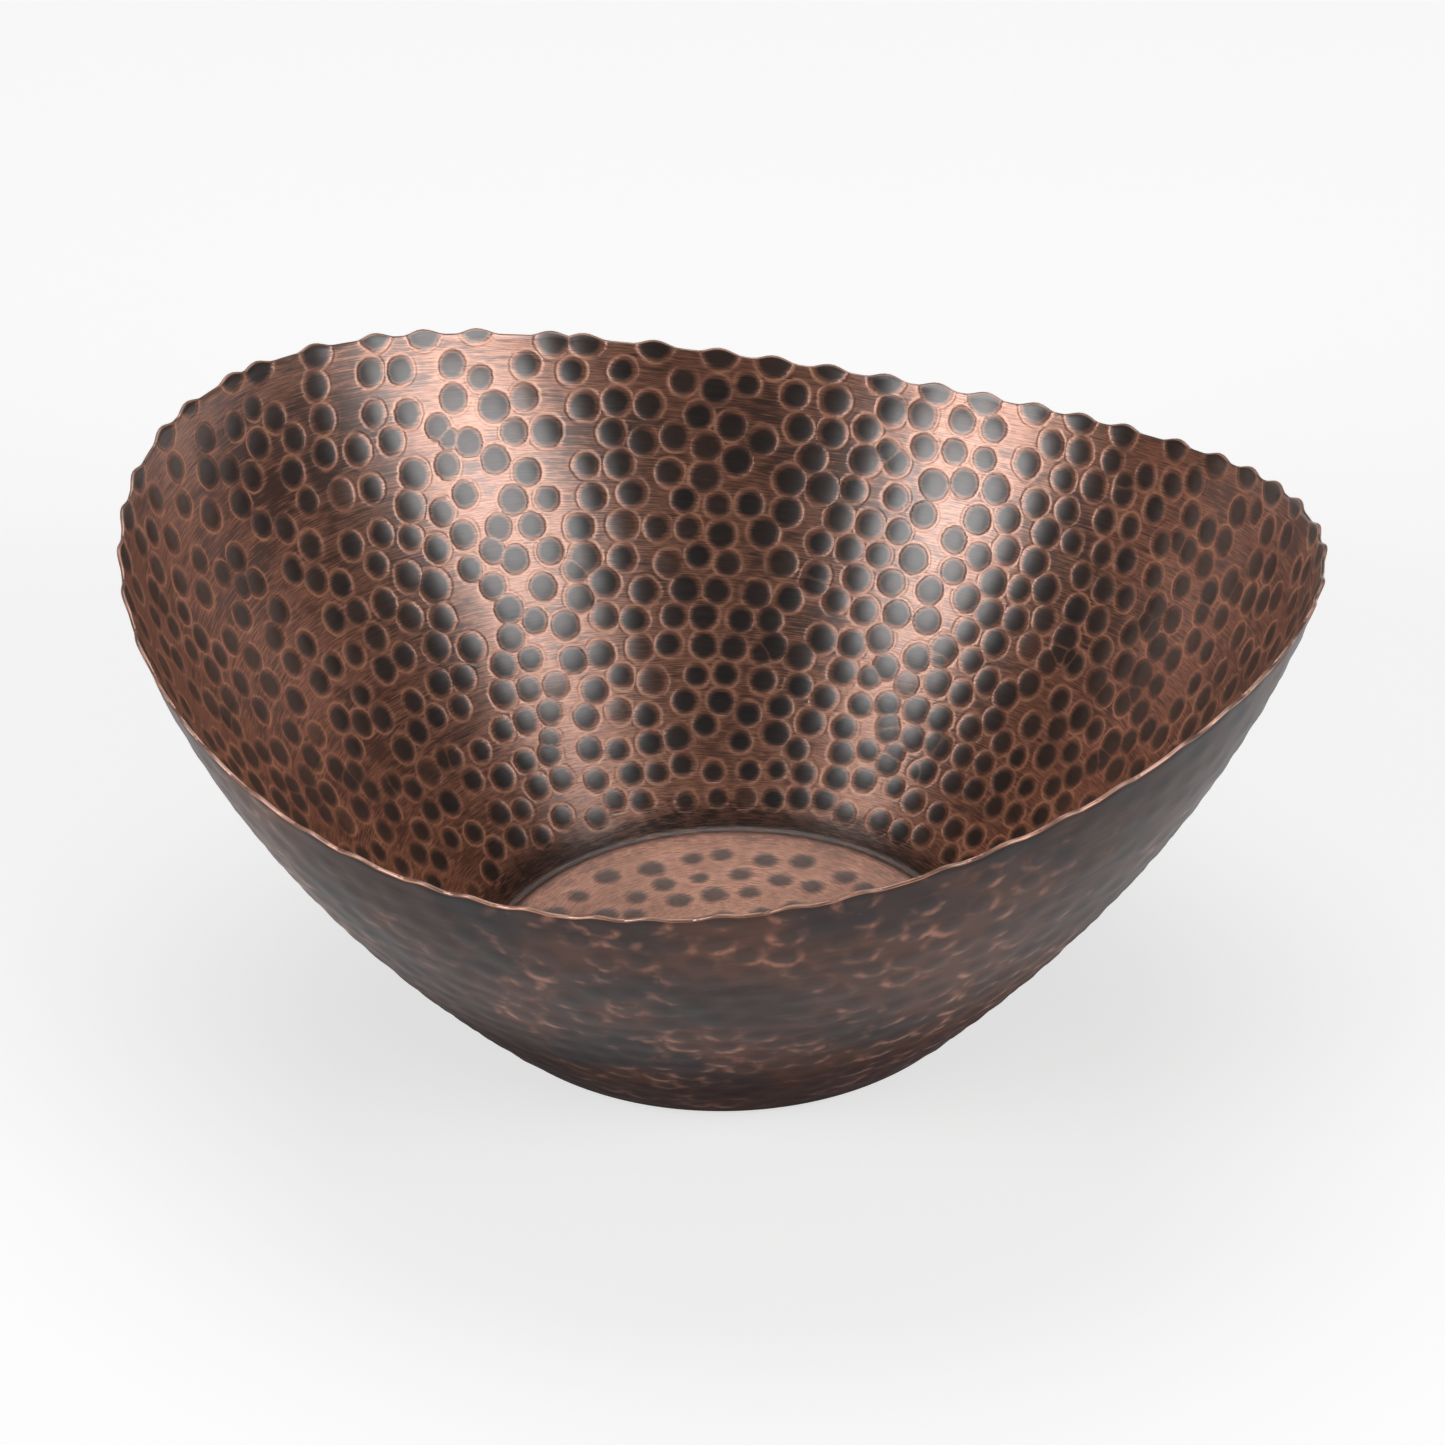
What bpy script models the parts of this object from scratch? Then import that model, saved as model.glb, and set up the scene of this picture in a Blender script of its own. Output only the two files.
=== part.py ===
"""Hammered copper bowl, as a Blender 4.5 model.

The bowl is one sheet of copper. Its floor is round and flat, its wall flares into an oval, and its
rim waves like a saddle: high at the two ends, low at the two sides. A ring pressed round the floor
makes the foot. Four rubber pads under the raised floor carry the bowl.

+X runs along the bowl's length, +Z is up, and the origin is on the table under the bowl's middle.
"""

from math import atan2, cos, pi, radians, sin

import bmesh
import bpy

MM = 0.001

# Overall size of the bowl
LENGTH = 304.8 * MM
WIDTH = 275.8 * MM
END_HEIGHT = 134.2 * MM       # rim above the foot, at the two high ends
SIDE_HEIGHT = 103.9 * MM      # rim above the foot, at the two low sides
WAVE_PEAK = 0.9 * MM          # how much the wave narrows at its tops
SHEET = 1.0 * MM              # thickness of the copper

# Base
BASE_RADIUS = 66.0 * MM       # outside of the foot
FOOT_CLEARANCE = 0.8 * MM     # the pads hold the foot this far off the table
FLOOR_RISE = 1.5 * MM         # underside of the floor above the foot
STEP_INNER_RADIUS = 62.2 * MM
STEP_OUTER_RADIUS = 63.8 * MM
FLOOR_CENTRE_RADIUS = 30.0 * MM
CORNER = 1.2 * MM             # how far the rounding of the base edge reaches

# Wall: a Bezier arc from the base edge to the rim
BULGE_OUT = 0.774             # its control point, as a share of the way out
BULGE_UP = 0.532              # and as a share of the way up

# Pads
PAD_RADIUS = 5.0 * MM
PAD_CIRCLE_RADIUS = 50.0 * MM
PAD_EDGE = 0.4 * MM
PAD_SEGMENTS = 32
PAD_ANGLES = {"front": -90.0, "right": 0.0, "back": 90.0, "left": 180.0}
ADHESIVE_GAP = 0.3 * MM

# Fineness of the sheet
AROUND = 80
WALL_ROWS = 12
STEP_ROWS = 3
CORNER_ROWS = 3
RIM_ROUNDING = 0.3 * MM


def clear_scene():
    for item in list(bpy.data.objects):
        bpy.data.objects.remove(item)


def make_material(name, colour, metallic, roughness):
    material = bpy.data.materials.new(name)
    material.use_nodes = True
    shader = material.node_tree.nodes["Principled BSDF"]
    shader.inputs["Base Color"].default_value = (*colour, 1.0)
    shader.inputs["Metallic"].default_value = metallic
    shader.inputs["Roughness"].default_value = roughness
    return material


def rim_radius(angle):
    """Plan of the rim: an oval, LENGTH along X and WIDTH along Y."""
    mean = (LENGTH + WIDTH) / 4
    stretch = (LENGTH - WIDTH) / 4
    return mean + stretch * cos(2 * angle)


def rim_height(angle):
    """Height of the rim above the foot: two waves round the bowl, their tops narrowed."""
    mean = (END_HEIGHT + SIDE_HEIGHT) / 2 - WAVE_PEAK
    wave = (END_HEIGHT - SIDE_HEIGHT) / 2
    return mean + wave * cos(2 * angle) + WAVE_PEAK * cos(4 * angle)


def bezier(start, middle, end, t):
    return (1 - t) ** 2 * start + 2 * (1 - t) * t * middle + t ** 2 * end


def wall_profile(angle, t):
    """Radius and height of the wall's outside, from the base edge (t = 0) to the rim (t = 1)."""
    out = rim_radius(angle) - BASE_RADIUS
    up = rim_height(angle)
    radius = bezier(BASE_RADIUS, BASE_RADIUS + BULGE_OUT * out, BASE_RADIUS + out, t)
    height = bezier(0.0, BULGE_UP * up, up, t)
    return radius, height


def corner_end(angle):
    """The share of the wall where the rounding of the base edge ends."""
    return CORNER / (2 * BULGE_UP * rim_height(angle))


def floor_edge_profile(angle, t):
    return STEP_INNER_RADIUS, FLOOR_RISE


def step_profile(angle, t):
    """The pressed step from the raised floor down to the foot, as half a cosine wave."""
    radius = STEP_INNER_RADIUS + t * (STEP_OUTER_RADIUS - STEP_INNER_RADIUS)
    return radius, FLOOR_RISE * (1 + cos(pi * t)) / 2


def corner_profile(angle, t):
    """The rounded base edge: from the flat foot round into the start of the wall."""
    end_radius, end_height = wall_profile(angle, corner_end(angle))
    radius = bezier(BASE_RADIUS - CORNER, BASE_RADIUS, end_radius, t)
    return radius, bezier(0.0, 0.0, end_height, t)


def upper_wall_profile(angle, t):
    start = corner_end(angle)
    return wall_profile(angle, start + t * (1 - start))


def extrude_ring(mesh, edges, profile, t):
    """Extrude the open edge loop and put each new vertex on the profile at its own angle."""
    made = bmesh.ops.extrude_edge_only(mesh, edges=edges)["geom"]
    ring = {item for item in made if isinstance(item, bmesh.types.BMVert)}
    for vertex in ring:
        angle = atan2(vertex.co.y, vertex.co.x)
        radius, height = profile(angle, t)
        vertex.co = (radius * cos(angle), radius * sin(angle), FOOT_CLEARANCE + height)
    return [item for item in made if isinstance(item, bmesh.types.BMEdge) and ring.issuperset(item.verts)]


def make_bowl_shell(material):
    """One sheet, drawn outwards ring by ring from the floor's middle and then given its thickness."""
    mesh = bmesh.new()
    bmesh.ops.create_circle(mesh, cap_ends=True, cap_tris=True, segments=AROUND, radius=FLOOR_CENTRE_RADIUS)
    for vertex in mesh.verts:
        vertex.co.z = FOOT_CLEARANCE + FLOOR_RISE
    edges = [edge for edge in mesh.edges if edge.is_boundary]
    edges = extrude_ring(mesh, edges, floor_edge_profile, 0.0)
    runs = ((step_profile, STEP_ROWS, 1), (corner_profile, CORNER_ROWS, 0), (upper_wall_profile, WALL_ROWS, 1))
    for profile, rows, first in runs:
        for row in range(first, rows + 1):
            edges = extrude_ring(mesh, edges, profile, row / rows)
    data = bpy.data.meshes.new("bowl_shell")
    mesh.to_mesh(data)
    mesh.free()

    bowl = bpy.data.objects.new("bowl_shell", data)
    bpy.context.collection.objects.link(bowl)
    bowl.data.materials.append(material)

    thickness = bowl.modifiers.new("sheet", "SOLIDIFY")
    thickness.thickness = SHEET
    thickness.offset = 1.0
    thickness.use_even_offset = True

    rounding = bowl.modifiers.new("rim_rounding", "BEVEL")
    rounding.width = RIM_ROUNDING
    rounding.segments = 2
    rounding.limit_method = "ANGLE"
    rounding.angle_limit = radians(60)

    data.shade_smooth()
    data.set_sharp_from_angle(angle=radians(50))
    return bowl


def make_pad_mesh(material):
    """A flat rubber disc with its lower edge rounded, standing on z = 0."""
    thickness = FOOT_CLEARANCE + FLOOR_RISE - ADHESIVE_GAP
    mesh = bmesh.new()
    bmesh.ops.create_cone(mesh, cap_ends=True, segments=PAD_SEGMENTS,
                          radius1=PAD_RADIUS, radius2=PAD_RADIUS, depth=thickness)
    for vertex in mesh.verts:
        vertex.co.z += thickness / 2
    lower_edge = [edge for edge in mesh.edges if all(vertex.co.z < thickness / 2 for vertex in edge.verts)]
    bmesh.ops.bevel(mesh, geom=lower_edge, offset=PAD_EDGE, segments=2, profile=0.5, affect="EDGES")
    data = bpy.data.meshes.new("base_pad")
    mesh.to_mesh(data)
    mesh.free()
    data.shade_smooth()
    data.set_sharp_from_angle(angle=radians(40))
    data.materials.append(material)
    return data


def make_base_pads(material):
    data = make_pad_mesh(material)
    for place, degrees in PAD_ANGLES.items():
        pad = bpy.data.objects.new(f"base_pad_{place}", data)
        bpy.context.collection.objects.link(pad)
        angle = radians(degrees)
        pad.location = (PAD_CIRCLE_RADIUS * cos(angle), PAD_CIRCLE_RADIUS * sin(angle), 0.0)


def main():
    clear_scene()
    copper = make_material("aged_copper", (0.30, 0.15, 0.10), 1.0, 0.38)
    rubber = make_material("black_rubber", (0.02, 0.02, 0.02), 0.0, 0.6)
    make_bowl_shell(copper)
    make_base_pads(rubber)


main()
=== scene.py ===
# %% [markdown]
# # A hammered copper bowl
#
# The bowl is one sheet of copper. A smith has driven it outwards from the inside, blow by blow,
# with a round-faced hammer, then darkened it with a patina and brushed the high places bright again.
# This lesson makes that sheet as one closed surface worked out with numpy, presses every hammer
# mark into it, and then builds the two finishes: brushed copper with dark marks on the inside, and
# the almost untouched patina on the outside.
#
# First the packed model is loaded. It says where everything is, and nothing here moves it.

import bpy
import numpy as np
from mathutils import Matrix, Vector


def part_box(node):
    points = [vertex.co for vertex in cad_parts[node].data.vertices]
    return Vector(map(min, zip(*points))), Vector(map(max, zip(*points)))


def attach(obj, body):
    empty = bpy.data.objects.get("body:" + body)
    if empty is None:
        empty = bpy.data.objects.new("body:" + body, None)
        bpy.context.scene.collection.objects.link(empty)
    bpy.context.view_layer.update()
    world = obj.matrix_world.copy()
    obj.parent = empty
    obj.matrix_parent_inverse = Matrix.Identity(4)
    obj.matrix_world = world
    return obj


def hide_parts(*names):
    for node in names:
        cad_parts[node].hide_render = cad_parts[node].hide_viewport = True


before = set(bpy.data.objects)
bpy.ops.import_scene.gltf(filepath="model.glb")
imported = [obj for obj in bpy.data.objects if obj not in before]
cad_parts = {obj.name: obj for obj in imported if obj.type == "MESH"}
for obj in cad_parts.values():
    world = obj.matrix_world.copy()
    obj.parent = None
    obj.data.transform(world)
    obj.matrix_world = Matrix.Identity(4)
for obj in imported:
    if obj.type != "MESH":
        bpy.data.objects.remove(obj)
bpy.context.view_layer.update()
shell_low, shell_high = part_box("bowl_shell")
print("nodes:", sorted(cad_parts))
print("bowl_shell from", tuple(shell_low), "to", tuple(shell_high))

# %% [markdown]
# ## The sizes of the bowl
#
# The length, the width and the height of the ends are read from the shell in the frame. The rest
# are the few driving sizes that a smith would mark on the sheet: how thick it is, how low the
# sides of the rim lie, and where the floor, the pressed ring and the wall meet.

# %% Sizes, in metres
MM = 0.001
SHEET = 1.0 * MM
HALF_LENGTH = shell_high.x
HALF_WIDTH = shell_high.y
FOOT = shell_low.z                 # underside of the foot ring
EDGE_SLANT = 0.2 * MM              # the rim's inner corner stands this much above its outer one
END_HEIGHT = shell_high.z - FOOT - EDGE_SLANT
SIDE_HEIGHT = 103.9 * MM
WAVE_PEAK = 0.9 * MM               # narrows the tops of the rim's wave
FLOOR_RADIUS = 61.0 * MM           # where the flat floor ends
GROOVE_RADIUS = 63.9 * MM          # where the pressed ring is deepest
BASE_RADIUS = 65.6 * MM            # middle of the sheet at the base edge
FLOOR_RISE = 1.5 * MM              # underside of the floor above the foot
CORNER = 1.3 * MM                  # how far the rounding of the base edge reaches
BULGE_OUT = 0.774                  # the wall's control point, as a share of the way out
BULGE_UP = 0.532                   # and as a share of the way up
print(f"bowl {2 * HALF_LENGTH / MM:.1f} x {2 * HALF_WIDTH / MM:.1f} x {END_HEIGHT / MM:.1f} mm")

# %% [markdown]
# ## The path of the sheet
#
# Cut the bowl in half and the sheet is a line: flat floor, a small step down into the pressed ring,
# the foot, a rounded corner and the long wall. `path` gives that line for every angle round the
# bowl. It takes whole arrays, so the same function serves a grid of a hundred thousand points and
# the centre of a single hammer mark. The wall is a Bezier arc that ends on the rim, and the rim is
# an oval whose height waves twice round the bowl, like a saddle.
#
# The bowl could also be modelled by hand from a cylinder, but a formula keeps the sheet's thickness
# even and gives every place on it a length, by which marks and brush lines are laid out.

# %% The rim and the wall
def rim_radius(angle):
    """Mean of the half length and half width, plus half their difference times cos(2 angle)."""
    return (HALF_LENGTH + HALF_WIDTH) / 2 + (HALF_LENGTH - HALF_WIDTH) / 2 * np.cos(2 * angle)


def rim_height(angle):
    """Mean height plus a wave in cos(2 angle), narrowed at its tops by a small one in cos(4 angle)."""
    mean = (END_HEIGHT + SIDE_HEIGHT) / 2 - WAVE_PEAK
    return mean + (END_HEIGHT - SIDE_HEIGHT) / 2 * np.cos(2 * angle) + WAVE_PEAK * np.cos(4 * angle)


def arc(start, middle, end, t):
    """A Bezier arc: (1-t)^2 start + 2t(1-t) middle + t^2 end."""
    return (1 - t) ** 2 * start + 2 * t * (1 - t) * middle + t ** 2 * end


def wall(angle, t):
    """Radius and height of the wall's middle, t from 0 at the base edge to 1 at the rim."""
    out = rim_radius(angle) - SHEET / 2 - BASE_RADIUS
    up = rim_height(angle) - SHEET / 2
    radius = arc(BASE_RADIUS, BASE_RADIUS + BULGE_OUT * out, BASE_RADIUS + out, t)
    return radius, SHEET / 2 + arc(0.0, BULGE_UP * up, up, t)


quarters = np.radians([0, 90, 180, 270])
print("rim heights at the four quarters, mm:", np.round(rim_height(quarters) / MM, 1))


# %% The whole path and its directions
HAIR = 1e-4                        # a hair's step along the sheet or round the bowl
BELOW_RIM = 2.999                  # the highest way at which a direction is measured


def path(angle, way):
    """Points on the middle of the sheet: way is 0-1 over the step, 1-2 over the corner, 2-3 up the wall.

    The step is half a cosine wave, the corner is a Bezier arc, and the wall is the arc above."""
    angle, way = np.broadcast_arrays(np.asarray(angle, float), np.asarray(way, float))
    wall_start = CORNER / (2 * BULGE_UP * rim_height(angle))
    step = np.clip(way, 0, 1)
    corner = np.clip(way - 1, 0, 1)
    climb = wall_start + np.clip(way - 2, 0, None) * (1 - wall_start)
    corner_radius, corner_height = wall(angle, wall_start)
    wall_radius, wall_height = wall(angle, climb)
    step_radius = FLOOR_RADIUS + step * (GROOVE_RADIUS - FLOOR_RADIUS)
    step_height = SHEET / 2 + FLOOR_RISE * (1 + np.cos(np.pi * step)) / 2
    turn_radius = arc(GROOVE_RADIUS, BASE_RADIUS, corner_radius, corner)
    turn_height = arc(SHEET / 2, SHEET / 2, corner_height, corner)
    stretches = [way <= 1, way <= 2]
    radius = np.select(stretches, [step_radius, turn_radius], wall_radius)
    height = np.select(stretches, [step_height, turn_height], wall_height)
    return np.stack([radius * np.cos(angle), radius * np.sin(angle), FOOT + height], axis=-1)


def unit(vectors):
    """Each vector divided by its own length."""
    return vectors / np.linalg.norm(vectors, axis=-1, keepdims=True)


def along(angle, way):
    """The direction up the sheet, from two points a hair apart on the path."""
    return unit(path(angle, way + HAIR) - path(angle, way - HAIR))


def outward(angle, way):
    """The direction out of the bowl: round the bowl crossed with up the sheet."""
    return unit(np.cross(path(angle + HAIR, way) - path(angle - HAIR, way), along(angle, way)))


WAYS = np.linspace(0, 3, 3001)
TYPICAL_ANGLE = np.pi / 4
STEPS = np.linalg.norm(np.diff(path(TYPICAL_ANGLE, WAYS), axis=0), axis=-1)
LENGTHS = FLOOR_RADIUS + np.concatenate([[0.0], np.cumsum(STEPS)])
RIM_LENGTH = LENGTHS[-1]


def length_at(way):
    """How far a place on the sheet is from the middle of the floor, measured along the sheet."""
    return np.interp(way, WAYS, LENGTHS)


def way_at(length):
    """The way that lies at a length along the sheet: the other direction of length_at."""
    return np.interp(length, LENGTHS, WAYS)


WALL_LENGTH = length_at(2)         # where the wall begins, measured along the sheet
print(f"from the floor's middle to the rim along the sheet: {RIM_LENGTH / MM:.0f} mm")

# %% [markdown]
# ## Where the hammer fell
#
# The smith works in rounds, one blow beside the next, and each round lies about a mark's width above
# the last. So the marks are laid out in rounds too, then each is knocked a little off its place, and
# marks that came too close are pushed apart, as a smith would aim at the bare metal. Blows near the
# floor are smaller, because the hammer reaches in at a slant. The last round falls on the rim itself:
# those marks are cut by the edge, and they push it up into scallops. At the end come some stray
# blows, which overlap the others here and there.
#
# Marks scattered freely would be simpler, but they leave bare patches and heaps, and a smith's work
# has neither.

# %% Sizes of the rounds
rng = np.random.default_rng(14)
LOW_PITCH = 8.3 * MM               # from blow to blow in the first round, near the floor
HIGH_PITCH = 12.3 * MM             # and in the last one below the rim
ROUND_PITCH = 9.0 * MM
FIRST_ROUND = WALL_LENGTH + 8.5 * MM
LAST_ROUND = RIM_LENGTH - 10.0 * MM
SCATTER = 0.24                     # how far a blow strays sideways, as a share of the pitch
LIFT = 0.20 * ROUND_PITCH          # and up or down the sheet
RIM_ROUND = RIM_LENGTH + 0.2 * MM
RIM_PITCH = 16.2 * MM
RIM_SCATTER = 0.11
RIM_LIFT = 0.9 * MM
LOW_ROOM = 7.4 * MM                # blows closer than this are pushed apart, near the floor
HIGH_ROOM = 9.3 * MM               # and below the rim
NUDGE = 0.3                        # the share of the missing room given in one turn
SETTLING_TURNS = 7
ROOM_MARGIN = 1.5 * MM             # how far the first and last rounds may drift outwards
STRAY_BLOWS = 60
FULL_TURN = 2 * np.pi


def round_of_marks(length, pitch, scatter, lift):
    """Angles and lengths of one round: evenly spaced, turned by a random start, then scattered."""
    radius = np.linalg.norm(path(TYPICAL_ANGLE, way_at(length))[:2])
    count = int(round(FULL_TURN * radius / pitch))
    angle = FULL_TURN / count * (np.arange(count) + rng.uniform() + rng.normal(0, scatter, count))
    return angle, length + rng.normal(0, lift, count)


def make_room(angle, length, loose):
    """Move loose marks away from every mark closer than the room they need, by a share of the lack."""
    middle = path(angle, way_at(length))
    room = np.interp(length, [FIRST_ROUND, LAST_ROUND], [LOW_ROOM, HIGH_ROOM])[:, None]
    apart = middle[:, None] - middle[None]
    distance = np.linalg.norm(apart, axis=-1)
    np.fill_diagonal(distance, np.inf)
    lack = (room - distance).clip(0, None)
    push = (apart / distance[..., None] * lack[..., None]).sum(axis=1) * NUDGE * loose[:, None]
    up = along(angle, way_at(length).clip(0, BELOW_RIM))
    round_about = np.stack([-np.sin(angle), np.cos(angle), np.zeros(len(angle))], axis=-1)
    turn = (push * round_about).sum(axis=-1) / np.linalg.norm(middle[:, :2], axis=-1)
    climb = (push * up).sum(axis=-1)
    moved = (length + climb).clip(FIRST_ROUND - ROOM_MARGIN, LAST_ROUND + ROOM_MARGIN)
    return angle + turn, np.where(loose, moved, length)


# %% Laying out the marks on the wall
round_count = int(round((LAST_ROUND - FIRST_ROUND) / ROUND_PITCH)) + 1
round_lengths = np.linspace(FIRST_ROUND, LAST_ROUND, round_count)
pitches = np.linspace(LOW_PITCH, HIGH_PITCH, round_count)
rounds = [round_of_marks(length, pitch, SCATTER, LIFT) for length, pitch in zip(round_lengths, pitches)]
rounds.append(round_of_marks(RIM_ROUND, RIM_PITCH, RIM_SCATTER, RIM_LIFT))
wall_angle = np.concatenate([angle for angle, length in rounds])
wall_length = np.concatenate([length for angle, length in rounds])
on_rim = np.arange(len(wall_angle)) >= len(wall_angle) - len(rounds[-1][0])
for _ in range(SETTLING_TURNS):
    wall_angle, wall_length = make_room(wall_angle, wall_length, ~on_rim)
rim_angle = wall_angle[on_rim]
wall_angle = np.concatenate([wall_angle, rng.uniform(0, FULL_TURN, STRAY_BLOWS)])
wall_length = np.concatenate([wall_length, rng.uniform(FIRST_ROUND, LAST_ROUND, STRAY_BLOWS)])
on_rim = np.concatenate([on_rim, np.zeros(STRAY_BLOWS, bool)])
wall_way = way_at(wall_length.clip(0, RIM_LENGTH))
direction_way = wall_way.clip(0, BELOW_RIM)

wall_middle = path(wall_angle, wall_way)
past_edge = (wall_length - RIM_LENGTH).clip(0, None)
wall_middle += along(wall_angle, direction_way) * past_edge[:, None]
wall_out = outward(wall_angle, direction_way)
print(f"{len(wall_angle)} marks on the wall in {len(rounds)} rounds")

# %% [markdown]
# ## How big and how deep each mark is
#
# A mark is as wide as the part of the hammer's ball that went into the sheet. Marks grow from the
# base to a little under halfway up the wall, then they stay the same, and the ones cut by the rim are
# the widest. No two blows are equally hard, so every size is varied a little. The floor has its own
# marks in rings round the middle. The patina sits evenly in most marks, and is paler in a few.

# %% Sizes of the marks, and the marks on the floor
LOW_MARK = 3.4 * MM                # radius of a mark at the base of the wall
MARK_GROWTH = 0.85 * MM            # how much larger it is higher up
GROWTH_SPEED = 2.2                 # the growth ends at one part in this many of the wall
RIM_MARK = 1.28                    # radius of the rim's marks, as a share of the others'
STRAY_MARK = 0.92                  # and of the stray ones
WALL_DEPTH = 0.047                 # depth of a mark, as a share of its radius
RIM_DEPTH = 0.060
FLOOR_DEPTH = 0.05
SWELL = 1.9                        # height of the swelling outside, as a share of the depth
RIM_SWELL = 1.1
FLOOR_MARK = 3.7 * MM
FLOOR_SHIFT = 1.2 * MM
FLOOR_ROUNDS = ((0.0, 1), (10.5, 6), (20.5, 12), (30.5, 18), (40.5, 24), (50.5, 29))  # mm, marks
PALE_MARKS = 0.03                  # the share of marks with a paler patina
PALE_TONE = 0.75
LEAST_TONE = 0.92                  # of the patina in the other marks, where 1 is the darkest

height_share = (wall_length - WALL_LENGTH) / (RIM_LENGTH - WALL_LENGTH)
wall_mark_radius = LOW_MARK + MARK_GROWTH * (height_share * GROWTH_SPEED).clip(0, 1)
wall_mark_radius *= rng.normal(1.0, 0.055, len(wall_angle)).clip(0.88, 1.14)
wall_mark_radius[on_rim] *= RIM_MARK
wall_mark_radius[-STRAY_BLOWS:] *= STRAY_MARK

floor_radius = np.concatenate([np.full(count, radius * MM) for radius, count in FLOOR_ROUNDS])
floor_angle = np.concatenate([FULL_TURN * (np.arange(count) + rng.uniform()) / count
                              for radius, count in FLOOR_ROUNDS])
floor_count = len(floor_radius)
floor_shift = rng.normal(0, FLOOR_SHIFT, (floor_count, 2))
floor_mark_radius = FLOOR_MARK * rng.normal(1.0, 0.07, floor_count).clip(0.8, 1.2)
floor_middle = np.stack([floor_radius * np.cos(floor_angle) + floor_shift[:, 0],
                         floor_radius * np.sin(floor_angle) + floor_shift[:, 1],
                         np.full(floor_count, FOOT + SHEET / 2 + FLOOR_RISE)], axis=-1)
floor_out = np.tile([0.0, 0.0, -1.0], (floor_count, 1))

mark_middle = np.concatenate([wall_middle, floor_middle])
mark_out = np.concatenate([wall_out, floor_out])
mark_radius = np.concatenate([wall_mark_radius, floor_mark_radius])
mark_count = len(mark_radius)
wall_depth_share = np.where(on_rim, RIM_DEPTH, WALL_DEPTH)
mark_depth = mark_radius * np.concatenate([wall_depth_share, np.full(floor_count, FLOOR_DEPTH)])
mark_swell = np.concatenate([np.where(on_rim, RIM_SWELL, SWELL), np.full(floor_count, SWELL)])
is_pale = rng.uniform(size=mark_count) < PALE_MARKS
mark_tone = np.where(is_pale, PALE_TONE, rng.uniform(LEAST_TONE, 1.0, mark_count))
mark_inside = mark_middle - mark_out * SHEET / 2
mark_outside = mark_middle + mark_out * SHEET / 2
print(f"{mark_count} marks, {2 * mark_radius.min() / MM:.1f} to {2 * mark_radius.max() / MM:.1f} mm across")

# %% [markdown]
# ## What one blow does
#
# A blow leaves a shallow bowl in the inside face: as deep as `depth` in the middle and nothing at
# its edge, as the ball of the hammer is round. Where two blows overlap, the deeper one wins and a
# crease is left between them. On the outside the same blow shows as a soft swelling, wider than the
# mark and without an edge. To find the blows that matter to a point, the distances to all marks are
# measured for a block of points at a time and the three nearest are kept.
#
# A bump in the finish would be quicker than real shape. But it can't bend the rim's outline, and a
# reflection doesn't run over it as it runs over a real hollow.

# %% Pressing the marks
BLOCK = 2000                       # points measured at a time, so that the tables stay small
NEAREST = 3                        # marks that can matter to one point
SWELL_REACH = 1.25                 # radius of a swelling, as a share of its mark's


def nearest_marks(points, centres, count):
    """For each point, the marks whose edges are nearest: distance minus radius, smallest first."""
    found = []
    for block in np.array_split(points, max(1, len(points) // BLOCK)):
        gap = np.linalg.norm(block[:, None, :] - centres[None], axis=-1) - mark_radius
        order = np.argpartition(gap, count, axis=1)[:, :count]
        gaps = np.take_along_axis(gap, order, axis=1)
        found.append(np.take_along_axis(order, np.argsort(gaps, axis=1), axis=1))
    return np.concatenate(found)


def pressed_inside(points):
    """Depth of the inside face: the deepest of depth * (1 - (distance / radius)^2)."""
    marks = nearest_marks(points, mark_inside, NEAREST)
    distance = np.linalg.norm(points[:, None, :] - mark_inside[marks], axis=-1)
    cup = mark_depth[marks] * (1 - (distance / mark_radius[marks]) ** 2)
    return cup.max(axis=1).clip(0, None)


def swelling_outside(points):
    """Height of the outside face: the highest of depth * swell * (1 - (distance / reach)^2)^2."""
    marks = nearest_marks(points, mark_outside, NEAREST)
    distance = np.linalg.norm(points[:, None, :] - mark_outside[marks], axis=-1)
    closeness = (1 - (distance / (SWELL_REACH * mark_radius[marks])) ** 2).clip(0, None)
    return (mark_swell[marks] * mark_depth[marks] * closeness ** 2).max(axis=1)


SCALLOP = 1.45 * MM                # how far the edge rises from a hollow to the top of a scallop
SCALLOP_REACH = 6.2 * MM           # from a scallop's top to its foot, along the rim
SCALLOP_DEPTH = 6.5 * MM           # how far down the sheet the push is felt
SCALLOP_LEVEL = 0.4                # the share of the rise at which the plain edge lies


def scallop(angle, way):
    """How far the rim is pushed up over each of its marks: a bump (1 - (distance / reach)^2)^2,
    fading to nothing a few millimetres below the edge."""
    turn = (angle[..., None] - rim_angle + np.pi) % FULL_TURN - np.pi
    reach = SCALLOP_REACH / rim_radius(angle)[..., None]
    bump = ((1 - (turn / reach) ** 2).clip(0, None) ** 2).max(axis=-1)
    fade = (1 - (RIM_LENGTH - length_at(way)) / SCALLOP_DEPTH).clip(0, 1)
    return SCALLOP * (bump - SCALLOP_LEVEL) * fade ** 1.5


deepest = pressed_inside(mark_inside).max()
print(f"deepest mark {deepest / MM:.2f} mm, scallops {SCALLOP / MM:.2f} mm high")

# %% [markdown]
# ## The grid of the sheet
#
# The surface is a stack of rings. It starts at the edge of the floor, goes up the inside, over the
# rim and down the outside to the underside of the floor. The inside wall needs a point every
# millimetre and a half to hold the marks, the outside only every three, so there are twice as many
# points in a ring inside as outside. The two floors are squares bent into discs, so that no faces
# crowd together at the middle.
#
# A single face thickened by a modifier would also make a sheet. Both faces are worked out here
# because a mark is crisp on the inside and soft on the outside.

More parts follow.
